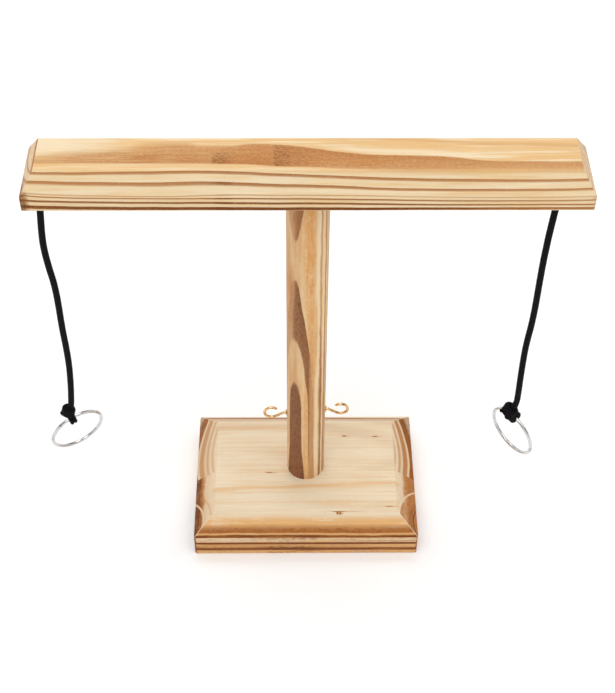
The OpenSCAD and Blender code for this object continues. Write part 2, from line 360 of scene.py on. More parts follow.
def cordMaterial(look):
    # black polyester: dull fibres, with painted shade between the strands and a painted highlight on their
    # crowns
    material, graph = startMaterial("blackBraid")
    place = graph.node("ShaderNodeAttribute", {"attribute_name": "weave"}, output="Vector")
    cosine, sine, along = graph.parts(place)
    around = graph.maths("ARCTAN2", sine, cosine) / (2 * math.pi)
    height, across, check = weave(graph, around, along, look["strands"], look["lay"])
    lean = across[0] * (1 - check) + across[1] * check
    fibre = graph.maths("SINE", lean * look["fibres"]) * 0.5 + 0.5
    fuzz = graph.speckle(cosine * 4.0, sine * 4.0, along * 2.2, 3.0)
    shade = height * 0.55 + fibre * height * 0.25 + fuzz * 0.5
    # painted shade in the hollows where strands go under, then a painted highlight on the raised crowns
    colour = graph.mix(height.spread(0.0, 0.45), look["gapShade"], look["black"])
    colour = graph.mix(shade.spread(0.35, 1.1, 0.0, 0.6), colour, look["lighterCrest"])
    bump = graph.node("ShaderNodeBump", None, {
        "Strength": 0.6, "Distance": 0.0002, "Height": height * 0.6 + fibre * 0.25 + fuzz * 0.4})
    graph.surface({"Base Color": colour, "Roughness": look["roughness"], "Normal": bump,
                   "Specular IOR Level": 0.12, "Sheen Weight": look["sheen"], "Sheen Roughness": 0.5})
    return material


def hangCord(side, tree, material):
    eye, points = cordRoutes[side]["eye"], cordRoutes[side]["points"]
    line = smoothLine([bead(eye + Vector(p), 1.0) for p in points], 1.0)
    piece = growBraid("hanging_cord_" + side, [line], cordLook["diameter"] / 2, tree, material)
    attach(piece, "cord_" + side)
    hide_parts("cord_" + side)
    cordLook["diameter"] * mm


def turned(degrees):
    # turn about Z of a lean about X of a roll about Y, as the rings hang
    turn, lean, roll = (math.radians(a) for a in degrees)
    return Matrix.Rotation(turn, 3, "Z") @ Matrix.Rotation(lean, 3, "X") @ Matrix.Rotation(roll, 3, "Y")


# Knots: a loop round a wire, then turns of cord round the standing part
def coil(centre, up, front, radius, turns, start, low, high, swell):
    # turns that climb from low to high along the knot, ten points each
    side = up.cross(front).normalized()
    front = side.cross(up).normalized()
    points, count = [], round(10 * turns)
    for i in range(count + 1):
        share = i / count
        angle = start + share * turns * 2 * math.pi
        rim = radius * (math.cos(angle) * front + math.sin(angle) * side)
        points.append(bead(centre + rim + up * (low + (high - low) * share), swell))
    return points


def loopRound(centre, up, side, radius, fromAngle, toAngle, swell):
    points, count = [], 12
    for i in range(count + 1):
        angle = math.radians(fromAngle + (toAngle - fromAngle) * i / count)
        points.append(bead(centre + radius * (math.cos(angle) * up + math.sin(angle) * side), swell))
    return points


# How each ring hangs, as its turn about Z, its lean and its roll in degrees, and the knot over it: lump is
# its half width, depth how far down its turns go, apart half the gap between its loops, swell their
# thickness, and tails the way and length of its cut ends
ringHang = {
    "left": {"turn": (32, 11, -12), "knot": (-1, 0, 8), "lump": 4.5, "depth": 0.85, "apart": 1.2,
             "swell": 0.8, "tails": [((-0.80, -0.15, -0.58), 6.3), ((-0.90, -0.36, -0.24), 5.9)]},
    "right": {"turn": (-53, 7, 5), "knot": (-3.5, 0, 7), "lump": 5.2, "depth": 0.72, "apart": 0.9,
              "swell": 0.85, "tails": [((-0.9897, -0.139, 0.035), 7.1)]},
}
ringKnot = {
    "cord": 1.6, "drawnIn": 1.45, "coil": {"turns": 2.9, "start": 0.6, "swell": 0.92},
    "firstLoop": {"radius": 3.1, "fromAngle": 42, "toAngle": 318},
    "secondLoop": {"radius": 3.1, "fromAngle": 36, "toAngle": 324},
    "tail": [0.82, 0.84, 0.82, 0.7, 0.28],  # swell of a cut end, from the knot to its melted tip
}


def tieRingKnot(side, tree, material, look):
    route, hang = cordRoutes[side], ringHang[side]
    pose = turned(hang["turn"])
    wire, depth, up = (pose @ Vector(way) for way in ((1, 0, 0), (0, 1, 0), (0, 0, 1)))
    hold = route["eye"] + route["hang"]
    knot, lump, apart = hold + Vector(hang["knot"]), hang["lump"], wire * hang["apart"]
    cordEnd = route["eye"] + Vector(route["points"][-1])
    axis = (cordEnd - knot + Vector((0, 0, 3))).normalized()
    tight = lump - look["drawnIn"]
    first = [bead(cordEnd + Vector((0.2, 0, 1.0)), 1.1), bead(knot + axis, 1.1),
             bead(knot - Vector((0, 0, 2.4)) + depth * 0.8 + apart, 0.9),
             *loopRound(hold + apart, up, depth, swell=hang["swell"], **look["firstLoop"]),
             bead(knot - axis * 2.2 - depth * 1.6 + apart, 0.9),
             *coil(knot, axis, -depth, tight, low=-lump * hang["depth"], high=lump * 0.4, **look["coil"]),
             bead(knot + axis * lump * 0.35 + Vector((-tight * 0.55, -tight * 0.7, 0)), 0.95),
             bead(knot + Vector((-tight * 0.75, -tight * 0.75, -lump * 0.25)), 0.95),
             bead(knot + Vector((-tight * 0.6, -tight * 0.2, -lump * 0.5)), 0.8)]
    second = [bead(knot - axis * 0.5 + depth * 0.6 - apart, 0.7),
              *loopRound(hold - apart, up, depth, swell=hang["swell"], **look["secondLoop"]),
              bead(knot - axis * 0.5 - depth * 0.6 - apart, 0.7)]
    lines = [smoothLine(first, 0.5), smoothLine(second, 0.5)]
    for way, length in hang["tails"]:
        way = Vector(way).normalized()
        reaches = (lump * 0.35, lump * 0.7, length - 0.9, length - 0.35, length)
        tail = [bead(knot + way * reach, swell) for reach, swell in zip(reaches, look["tail"])]
        lines.append(smoothLine(tail, 0.4))
    piece = growBraid("ring_knot_" + side + "_braid", lines, look["cord"], tree, material)
    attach(piece, "cord_" + side)
    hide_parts("ring_knot_" + side)
    return piece


# Knot under each screw eye, in millimetres: its line is given from the knot's middle, as (x, y, z, swell)
eyeKnot = {
    "cord": 1.5, "hold": -3.9, "knot": -11.1,
    "loop": {"radius": 2.7, "fromAngle": 140, "toAngle": -140, "swell": 0.98},
    "coil": {"radius": 2.0, "turns": 2.2, "start": 0.3, "low": 3.9, "high": 1.1, "swell": 0.85},
    "rise": [(0, 0, -0.9, 0.9), (0, 0, -0.3, 1.2), (0, 0.5, 1.5, 1.0), (0, 1.4, 3.6, 0.98)],
    "fall": [(0, -1.5, 4.4, 0.95)],
    "tuck": [(-0.8, -1.9, 1.2, 0.85), (-0.2, -2.3, 2.4, 0.8), (0.5, -2.2, 3.8, 0.7), (0.7, -1.9, 4.6, 0.35)],
    "neckTop": [(0.9, 0.7), (0.3, 1.15), (-0.6, 1.28)],  # height over the knot's middle, swell
    "neckFoot": [(-1.2, 1.33), (-0.2, 1.33), (0.8, 1.15)],  # way along the cord from its start, swell
}


def tieEyeKnot(side, tree, material, look):
    eye = cordRoutes[side]["eye"]
    up, depth = Vector((0, 0, 1)), Vector((0, 1, 0))
    hold, knot = eye + up * look["hold"], eye + up * look["knot"]
    rise, fall, tuck = (
        [bead(knot + Vector(p[:3]), p[3]) for p in look[part]] for part in ("rise", "fall", "tuck"))
    line = [*rise, *loopRound(hold, up, depth, **look["loop"]), *fall,
            *coil(knot, up, -depth, **look["coil"]), *tuck]
    piece = growBraid("eye_knot_" + side + "_braid", [smoothLine(line, 0.5)], look["cord"], tree, material)
    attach(piece, "eye_knot_" + side)
    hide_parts("eye_knot_" + side)

    # the cord's own end inside the knot, so that nothing opens when it sways
    start, after = (eye + Vector(p) for p in cordRoutes[side]["points"][:2])
    way = (after - start).normalized()
    neck = [bead(knot + up * height, swell) for height, swell in look["neckTop"]]
    neck += [bead(start + way * reach, swell) for reach, swell in look["neckFoot"]]
    neckPiece = growBraid("cord_neck_" + side, [smoothLine(neck, 0.4)], look["cord"], tree, material)
    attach(neckPiece, "cord_" + side)
    return piece, neckPiece


cordTree = braidedCordTree()
blackBraid = cordMaterial(cordLook)
for side in ("left", "right"):
    knots = [*tieEyeKnot(side, cordTree, blackBraid, eyeKnot),
             tieRingKnot(side, cordTree, blackBraid, ringKnot)]
    hangCord(side, cordTree, blackBraid)


# Metals, and the solids that keep their own shape
metals = {
    "brassWire": {"bright": tint(234, 196, 140), "dull": tint(134, 82, 38), "smooth": 0.1, "rough": 0.3,
                  "patch": 0.5, "bump": 0.8,
                  "nodes": ["hook_left", "hook_right", "screw_eye_left", "screw_eye_right"]},
    "nickelWire": {"bright": tint(214, 213, 212), "dull": tint(168, 164, 160), "smooth": 0.05, "rough": 0.14,
                   "patch": 0.22, "bump": 0.4, "nodes": []},
    "zincSteel": {"bright": tint(205, 205, 200), "dull": tint(150, 148, 138), "smooth": 0.24, "rough": 0.42,
                  "patch": 0.5, "bump": 0.6, "nodes": ["base_screw", "crossbar_dowel_screw"]},
}


def metalMaterial(name, look):
    # wire metal: faint lengthwise scratches, a little tarnish in patches
    material, graph = startMaterial(name)
    x, y, z = graph.place()
    patch = graph.speckle(x * look["patch"], y * look["patch"], z * look["patch"], 3.0)
    scratch = graph.speckle(x * 1.1, y * 9.0, z * 9.0)
    grain = graph.speckle(x * 14.0, y * 14.0, z * 14.0, 1.0)
    colour = graph.mix((patch + scratch * 0.3).spread(0.0, 0.24), look["bright"], look["dull"])
    rough = patch.spread(-0.2, 0.3, look["smooth"], look["rough"]) + scratch * 0.05
    bump = graph.node("ShaderNodeBump", None, {
        "Strength": look["bump"], "Distance": 0.00003, "Height": scratch * 0.6 + grain * 0.3 + patch * 0.8})
    graph.surface({"Base Color": colour, "Metallic": 1.0, "Roughness": rough, "Normal": bump})
    return material


def paint(name, material):
    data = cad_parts[name].data
    data.materials.clear()
    data.materials.append(material)


finishes = {}
for name, look in metals.items():
    finishes[name] = metalMaterial(name, look)
    for node in look["nodes"]:
        paint(node, finishes[name])
print("metal painted")


# Rings
ringLook = {"diameter": 37.998, "wire": 2.4, "round": 224, "sides": 32, "weld": 0.035, "weldAt": 0.72}


def wireRingTree():
    # a closed ring of round wire, slightly swollen where its ends are welded
    graph, given = startTree("wireRing", {
        "Ring radius": "Float", "Wire radius": "Float", "Weld": "Float", "Weld at": "Float", "Round": "Int",
        "Sides": "Int", "Place": "Vector", "Turn": "Rotation", "Material": "Material"})
    circle = circleOf(graph, given["Round"], given["Ring radius"])
    share = graph.node("GeometryNodeSplineParameter", output="Factor")
    away = abs(share - given["Weld at"]) * 90.0
    swell = given["Weld"] / (away * away + 1.0) + 1.0
    circle, swell = graph.node("GeometryNodeCaptureAttribute", {"captured": ["swell"]},
                               {"Geometry": circle, "swell": swell}, ["Geometry", "swell"])
    wire = circleOf(graph, given["Sides"], given["Wire radius"])
    ring = graph.node("GeometryNodeCurveToMesh", None,
                      {"Curve": circle, "Profile Curve": wire, "Scale": swell})
    ring = graph.node("GeometryNodeTransform", None, {
        "Geometry": ring, "Translation": given["Place"], "Rotation": given["Turn"]})
    return endTree(graph, ring, given["Material"])


def hangRing(side, tree, material, look):
    radius = (look["diameter"] - look["wire"]) / 2
    pose = turned(ringHang[side]["turn"])
    centre = cordRoutes[side]["eye"] + cordRoutes[side]["hang"] + pose @ Vector((0, 0, -radius))
    turn = (pose @ Matrix.Rotation(math.pi / 2, 3, "X")).to_euler("XYZ")
    piece = grow("wire_ring_" + side, bpy.data.meshes.new("nothing"), tree, {
        "Ring radius": radius * mm, "Wire radius": look["wire"] / 2 * mm, "Weld": look["weld"],
        "Weld at": look["weldAt"], "Round": look["round"], "Sides": look["sides"], "Place": centre * mm,
        "Turn": turn, "Material": material})
    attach(piece, "ring_" + side)
    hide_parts("ring_" + side)


ringTree = wireRingTree()
for side in ("left", "right"):
    hangRing(side, ringTree, finishes["nickelWire"], ringLook)


# Wood: pine whose growth rings were darkened by a flame and then brushed.
# Its noises are (fineness along the grain, fineness across it, detail, roughness).
pineLook = {
    "noises": {"fibre": (0.045, 1.3, 4.0, 0.65), "streak": (0.014, 0.5, 4.0, 0.6),
               "cloud": (0.018, 0.07, 2.0, 0.5), "speck": (0.7, 0.95, 3.0, 0.7)},
    "roughness": 0.58, "bump": 0.35, "bumpDepth": 0.0003, "specular": 0.1}


def distance(across, upward):
    return (across * across + upward * upward) ** 0.5


def ringLevels(value, rings, low, high):
    # latewood and its darkening, from rings given as (inner edge, outer edge, soft in, soft out, late, deep)
    levels = []
    for part in (0, 1):
        stops = [(low, 0.0)]
        for inner, outer, softIn, softOut, *strengths in rings:
            level = strengths[part]
            stops += [(inner - softIn, 0.0), (inner, level), (outer, level * 0.85), (outer + softOut, 0.0)]
        stops = [(max(low, min(high, place)), level) for place, level in stops]
        levels.append(value.ladder(low, high, stops))
    return levels


def finishPine(graph, look, grain, late, deep, scorch, end, warm, pale):
    # colours the wood from its masks: latewood, dark rings, scorching, end grain, toasted and pale streaks;
    # grain is the place on the piece, first along the grain and then across it both ways
    along, across, upright = grain
    fibre, streak, cloud, speck = (
        graph.speckle(along * fine, across * wide, upright * wide, detail, roughness)
        for fine, wide, detail, roughness in pineLook["noises"].values())
    body = (streak * 1.4 + cloud * 0.8 + fibre * 0.6).spread(-0.26, 0.4)
    colour = graph.mix(body, look["cream"], look["honey"])
    warm = greatest(warm, (streak + fibre * 0.5).spread(0.08, 0.26, 0.0, 0.3))
    late = late * (speck + fibre * 0.8).spread(-0.3, 0.12, 0.76, 1.05)
    deep = deep * (speck * 1.4 + streak * 0.6).spread(-0.25, 0.2, 0.7, 1.12)
    for share, name in ((warm, "warm"), (pale, "pale"), (end * look["endShare"], "endGrain"),
                        (late, "ochre"), (deep, "umber"), (scorch, "char")):
        colour = graph.mix(share, colour, look[name])
    shade = 1.0 + fibre * 0.26 + streak * 0.1 + speck * (0.08 + late * 0.4 + deep * 0.9 + scorch * 0.6)
    colour = graph.node("ShaderNodeVectorMath", {"operation": "SCALE"}, {0: colour, "Scale": shade})
    bump = graph.node("ShaderNodeBump", None, {
        "Strength": pineLook["bump"], "Distance": pineLook["bumpDepth"],
        "Height": fibre * 0.5 + late * 0.35 + deep * 0.2 + speck * 0.14})
    graph.surface({
        "Base Color": colour, "Normal": bump, "Specular IOR Level": pineLook["specular"],
        "Roughness": pineLook["roughness"] + fibre * 0.12 - late * 0.06 + end * 0.12})


# Crossbar: the heart of the tree lay over the board, and wandered along it
crossbarLook = {
    "cream": tint(240, 215, 174), "honey": tint(230, 194, 141), "ochre": tint(188, 126, 72),
    "umber": tint(118, 64, 26), "char": tint(96, 52, 26), "endGrain": tint(232, 212, 184),
    "warm": tint(226, 180, 120), "pale": tint(242, 224, 192), "endShare": 0.6,
    # the heart, by place along the bar, in millimetres
    "heartY": [(-158, 14), (-140, 6), (-110, 1), (-65, 1), (-25, -1), (20, -4.5), (65, -8.2), (110, -11.5),
               (158, -12)],
    "heartZ": [(-158, 331), (-140, 334.5), (-110, 336.5), (-65, 336.3), (-25, 336.5), (20, 338), (65, 338.5),
               (110, 339.2), (158, 339.4)],
    # the rings seen on the front: nominal radius, then real radius along the bar
    "ringPaths": [
        (40.8, [(-158, 39.2), (-125, 37.8), (-90, 37.2), (-55, 36.7), (-20, 37.4), (15, 39.1), (50, 40),
                (85, 40.4), (120, 40.9), (158, 40.4)]),
        (45.2, [(-158, 44.2), (-125, 42.9), (-90, 43.2), (-55, 42.5), (-20, 43.1), (15, 44.3), (50, 45.3),
                (85, 45.4), (120, 45.5), (158, 45)]),
        (49.1, [(-158, 50.4), (-125, 49.8), (-90, 50.3), (-55, 49.5), (-20, 48.7), (15, 48.9), (50, 49),
                (85, 49.1), (120, 49.2), (158, 48.8)]),
        (51.35, [(-158, 51.5), (-125, 50.9), (-90, 51), (-55, 50.9), (-20, 50.4), (15, 50.9), (50, 51.1),
                 (85, 51.3), (120, 51.4), (158, 50.7)]),
        (53.9, [(-158, 54.4), (-125, 53.4), (-90, 53.8), (-55, 53.7), (-20, 53.5), (15, 53.9), (50, 54.1),
                (85, 54.2), (120, 54.2), (158, 54.1)]),
        (56.75, [(-158, 57.7), (-125, 57.2), (-90, 57.4), (-55, 57.3), (-20, 57), (15, 57.3), (50, 56.8),
                 (85, 56.5), (120, 56.5), (158, 56.5)])],
    "span": (36, 64),
    "rings": [(40.2, 41.2, 0.15, 0.6, 0.95, 0.16), (44.7, 45.6, 0.15, 0.6, 0.95, 0.2),
              (48.9, 49.3, 0.2, 0.3, 0.5, 0.12), (51, 51.7, 0.2, 0.3, 0.95, 0.35),
              (53.5, 54.3, 0.2, 0.35, 1, 0.65), (56.2, 57.6, 0.25, 0.5, 1, 0.95),
              (60.2, 61, 0.3, 0.5, 0.9, 0.5)],
    # the burnt band on top: its rear and front edge and its strength, and the toasting of the front rings
    "bandTop": [(-158, -3), (-147, -2.2), (-129, 1.1), (-104, 3.2), (-83, 8), (-68, 8.8), (-59, 7),
                (-44, 6.8), (-29, 8.6), (-19, 8.2), (2, 4.9), (17, 1.9), (40, -0.9), (60, -1.5), (81, -3.1),
                (99, -5.9), (120, -6.3), (158, -6.5)],
    "bandFoot": [(-158, -7.8), (-104, -7.5), (-44, -8.1), (-29, -8.8), (-19, -9.9), (2, -10.7), (17, -11.8),
                 (40, -12.6), (60, -13), (99, -12.7), (158, -13.1)],
    "bandLevel": [(-158, 0.3), (-140, 0.55), (-110, 0.72), (-60, 0.82), (-20, 1), (30, 0.95), (80, 0.85),
                  (120, 0.75), (158, 0.72)],
    "toast": [(-158, 0), (-110, 0.1), (-65, 0.4), (-30, 1), (20, 0.85), (70, 0.4), (158, 0.2)],
}


def crossbarPine(look):
    material, graph = startMaterial("crossbarPine")
    (x, y, z), facing = graph.place(), graph.facing()
    ripple = graph.speckle(x * 0.09, y * 0.15 + 40, z * 0.15)
    radius = distance(y - x.curve(look["heartY"]), z - x.curve(look["heartZ"]))
    paths = [(nominal, x.curve(points)) for nominal, points in look["ringPaths"]]
    firstRing, firstPath, lastPath = *paths[0], paths[-1][1]
    ring = graph.maths("MINIMUM", radius - firstPath, 0) + firstRing
    for (inner, innerPath), (outer, outerPath) in zip(paths, paths[1:]):
        ring = ring + radius.ramp(innerPath, outerPath, 0, outer - inner)
    ring = ring + greatest(radius - lastPath, 0) + ripple * 0.3
    late, deep = ringLevels(ring, look["rings"], *look["span"])
    bandTop, bandFoot = x.curve(look["bandTop"]), x.curve(look["bandFoot"])
    onTop = z.spread(301.6, 303.1)
    behind = (y - bandTop).spread(-0.5, 1.5) * onTop
    late = late * (1 - behind * 0.72)
    fading = (x + ripple * 40).spread(50, 140, 1, 0.4)
    deep = (deep * fading + late * x.curve(look["toast"]) * 0.2) * (1 - behind)

    # the broad flame-burnt band on top
    drift = graph.speckle(x * 0.05, 3, 1) * 1.2
    top, foot = bandTop + drift, bandFoot + drift * 0.4
    softTop, softFoot = x.spread(-85, -25, 4.5, 0.5), x.spread(0, 70, 0.9, 3)
    inside = y.spread(top + softTop, top - softTop) * y.spread(foot - softFoot, foot + softFoot * 0.6)
    rise = (y - foot) / (top - foot)
    turn = x.spread(-25, 15)
    core = rise * turn + (1 - rise) * (1 - turn)
    scald = graph.speckle(x * 0.5, y * 0.7, 7, 3, 0.8)
    smear = graph.speckle(x * 0.05, y * 0.6, 2, 3)
    uneven = core * 0.2 + 0.8 + scald * 1.3 + smear * x.spread(-30, -90, 0.5, 1.8)
    band = inside * onTop * x.curve(look["bandLevel"]) * uneven
    late = greatest(late, band)
    shift = x + scald * 4
    patchLeft = shift.spread(-53.4, -51) * shift.spread(-38, -48) * (rise + smear).spread(0.8, 0.3)
    patchRight = shift.spread(-19.4, -18.2) * (shift.spread(-8, -13) * 0.6 + x.spread(12, -6) * 0.4)
    patches = (patchLeft * 0.42 + patchRight * 0.34) * (1 + scald * 3)
    scar = (x + scald * 6).near(-46, 7, 2) * z.spread(303.3, 300)
    deep = deep + band * (patches + core * core * 0.1) + late * scar * 0.35

    # toasted and pale streaks
    vein = graph.speckle(x * 0.02, y * 0.35 + 6, 5, 3, 0.65)
    milk = graph.speckle(x * 0.02 + 5, y * 0.4, z * 0.4, 3)
    warm = greatest(behind * vein.spread(0.04, 0.24, 0, 0.5),
                    (bandFoot - y).spread(6, 0.5, 0.25, 0.65) * onTop)
    pale = greatest(
        (x + smear * 60).spread(-85, -140) * onTop * (y + smear * 8).spread(-3, 6) * 0.8,
        milk.spread(-0.04, 0.2) * ((bandFoot - y).spread(0.8, 3) * 0.5 + behind * 0.62 + 0.1),
        (y - bandTop).near(3.5, 3, 0.5) * onTop * x.spread(0, 30) * x.spread(110, 60) * 0.6)

    # ends: blotched, with a light scorch on their ridges and on the left one's lower corner
    end = abs(facing[0]).spread(0.3, 0.45)
    blotch = graph.speckle(x * 0.35, y * 0.3, z * 0.45 + 9, 3)
    isLeft = x.spread(0, -10)
    low = z.spread(297, 288) * y.spread(2, -14) * end
    ridge = abs(x).near(148.7, 1.1, 0.5) * z.spread(296, 301) * end * (isLeft * 0.8 + 0.2)
    rim = z.near(290.4, 1.8, 0.5) * abs(x).spread(152.5, 154.5) * (isLeft * 0.3 + 0.35)
    toe = isLeft * end * z.spread(297, 289) * y.spread(-4, -15)
    corner = x.spread(-150, -154) * z.spread(294.5, 291.5) * y.spread(-9, -18)
    late = greatest(late * (1 - end * 0.3), end * blotch.spread(-0.1, 0.3) * 0.5,
                    greatest(ridge, rim) * (1 + blotch), toe, corner * 0.8)
    scorch = greatest((blotch + low * 0.3).spread(0.1, 0.5) * low * (isLeft * 0.5 + 0.12),
                      toe * (0.75 + blotch * 1.3), corner * (0.6 + blotch * 1.6))
    warm = greatest(warm * (1 - pale), end * blotch.spread(-0.2, 0.15, 0.6, 0))
    finishPine(graph, look, (x, y, z), late, deep, scorch, end, warm, pale)
    return material


# Post: flame-shaped rings on its left front, thin lines on its right
postLook = {
    "cream": tint(238, 209, 166), "honey": tint(226, 182, 126), "ochre": tint(188, 128, 76),
    "umber": tint(140, 92, 62), "char": tint(84, 52, 40), "endGrain": tint(216, 196, 166),
    "warm": tint(221, 161, 95), "pale": tint(240, 220, 184), "endShare": 0.5,
    "radius": 12.5, "facing": -37,
    # how far the rings have risen through the post, by height
    "rise": [(28, 7.05), (48, 6.5), (64, 6.05), (81, 6.02), (98, 5.95), (111, 5.8), (121, 5.4), (131, 4.85),
             (142.5, 4.42), (155.7, 3.6), (166, 2.8), (181, 1.85), (192.6, 1.1), (203, 0.6), (214.5, 0.17),
             (232, -0.45), (248.7, 0), (263.6, 0.7), (273, 1.2), (284, 1.8)],
    "span": (-28, 9),
    "rings": [(-25.5, -24.6, 0.3, 0.5, 0.9, 0.5), (-21.4, -20.6, 0.3, 0.5, 0.9, 0.5),
              (-17.5, -16.5, 0.2, 0.4, 0.95, 0.7), (-12.7, -11.8, 0.2, 0.5, 0.95, 0.4),
              (-6.6, -4.6, 0.4, 0.7, 0.95, 0.35), (0, 2.6, 0.1, 0.3, 1, 0.85),
              (5.15, 8.5, 0.15, 0.3, 1, 0.95)],
    # azimuth at the top, lean to the foot, half width, strength at the top and at the foot
    "lines": [(40, 5.5, 4, 0.8, 1), (58, 6, 4.2, 1, 0.85), (12, 3, 6, 0.12, 0.42),
              (75, 4, 5, 0.6, 0.7)],
}


def postPine(look):
    material, graph = startMaterial("postPine")
    (x, y, z), facing = graph.place(), graph.facing()
    ripple = graph.speckle(z * 0.07 + 7, x * 0.25, y * 0.25)
    way = math.radians(look["facing"])
    reach = x * math.sin(way) - y * math.cos(way)
    ring = z.curve(look["rise"]) + reach - look["radius"] + ripple * 0.35
    late, deep = ringLevels(ring, look["rings"], *look["span"])
    turn = graph.maths("ARCTAN2", x, -y) * (180 / math.pi)  # 0 at the front, 90 at the right
    isLine, isFlame = ring.spread(-3.4, -3.8), ring.spread(3.5, 4.5)
    slant = turn + z.spread(225, 175, 0, 8)
    burnt = turn.spread(13, 2, 0.1, 1) * slant.spread(-44, -26, 0.2, 1)
    low = z.spread(225, 125, 0.2, 1)
    deep = deep * (isLine * low + (1 - isLine) * (isFlame + (1 - isFlame) * burnt))
    onRight = turn.spread(0, 9) * turn.spread(110, 90)
    late = late * (1 - isLine * ((1 - low) * 0.6 * (1 - onRight) + onRight * 0.95))
    late = late * (1 - (1 - isLine) * (1 - isFlame) * (1 - burnt) * 0.45)
    deep = deep * (1 - isLine * onRight) * (1 - z.spread(238, 256) * 0.45)

    # brown haze on the left and under the crossbar, toasted wood beside it
    blotch = graph.speckle(z * 0.05, x * 0.25 + 3, y * 0.25, 3)
    mottle = graph.speckle(x * 0.7, y * 0.7, z * 0.35, 3, 0.8)
    strand = graph.speckle(turn * 0.09, 3, z * 0.012, 3, 0.6)
    fleck = graph.speckle(x * 0.3 + 9, y * 0.3, z * 0.09, 3, 0.7)
    crown = z.near(268, 14, 4) * turn.near(-32, 18, 6)
    haze = turn.spread(5, -38) * (0.36 + blotch * 0.9) + crown * 0.4
    late = greatest(late, haze + z.near(196, 36, 14) * turn.spread(-24, -40) * 0.3)
    deep = greatest(deep, crown * (0.32 + blotch * 0.6))
    scorch = deep * mottle.spread(-0.05, 0.2, 0.1, 0.75)
    bulge = z.near(168, 45, 15) * 7
    warm = ((turn - bulge).near(8, 25, 10) * (0.62 + fleck * 1.8 + strand)
            + turn.near(-5, 40, 15) * z.spread(190, 245) * 0.25
            + mottle * 1.3 * turn.spread(34, 14))

    # thin straight rings on the right
    for middle, lean, wide, high, foot in look["lines"]:
        away = abs(turn - middle - z.spread(260, 50) * lean + ripple * 8)
        width = z.spread(190, 100, wide, wide * 1.7)
        line = (1 - graph.maths("MINIMUM", away / width, 1)) ** 0.6
        strength = z.spread(230, 100, high, foot)
        late = greatest(late, line * strength)
        deep = greatest(deep, line * strength * strength * z.spread(250, 120, 0.1, 0.7))
    pale = greatest(
        (turn - bulge + ripple * 8).near(29.5, 9, 3) * z.spread(60, 20, 0.6, 0.3),
        turn.near(52, 4, 1.5) * 0.6,
        (strand + mottle * 0.8).spread(0.05, 0.25) * turn.spread(-20, -8) * 0.5)
    finishPine(graph, look, (z, x, y), late, deep, scorch, abs(facing[2]).spread(0.6, 0.9), warm, pale)
    return material


# Base: two boards side by side, their hearts on opposite sides, with scorched bevels
baseLook = {
    "cream": tint(239, 222, 194), "honey": tint(229, 202, 164), "ochre": tint(182, 114, 54),
    "umber": tint(118, 62, 27), "char": tint(104, 60, 34), "endGrain": tint(217, 185, 147),
    "warm": tint(230, 180, 120), "pale": tint(243, 226, 196), "endShare": 0.7,
    # where the boards meet, each board's heart as (y, z), and the rings round it
    "joint": -5, "backHeart": (10, 135), "backSpan": (98, 142),
    "frontHeart": (-41.8, -6.7), "frontSpan": (10, 50),
    "back": [(104, 104.5, 0.6, 0.8, 0.25, 0), (107.3, 108.1, 0.6, 0.8, 0.4, 0),
             (110.2, 111.1, 0.5, 0.7, 0.5, 0), (113.3, 115.3, 1.1, 0.2, 0.7, 0.05),
             (116.75, 119.5, 0.12, 2, 1, 0.5), (126.6, 127.9, 0.8, 0.5, 0.9, 0.35),
             (133.2, 134.6, 0.9, 0.4, 0.85, 0.4)],
    "front": [(15.6, 17.2, 0.9, 0.7, 1, 0.7), (21, 22.2, 0.7, 0.45, 1, 0.95),
              (27.3, 27.85, 0.25, 0.15, 1, 0.9), (28.45, 29.3, 0.15, 2, 1, 0.3),
              (34.4, 34.9, 0.4, 0.5, 0.35, 0)],
    # x, y, half length and half width of the small knots
    "knots": [(27.2, 25.2, 0.9, 0.35), (48.6, 24.8, 1.2, 0.3), (-25, -6.6, 1.3, 0.25),
              (21.1, -40, 0.5, 0.42), (22.9, -40.1, 0.45, 0.4), (22, -39.2, 3, 0.13),
              (56, -35.4, 1.5, 0.22)],
}


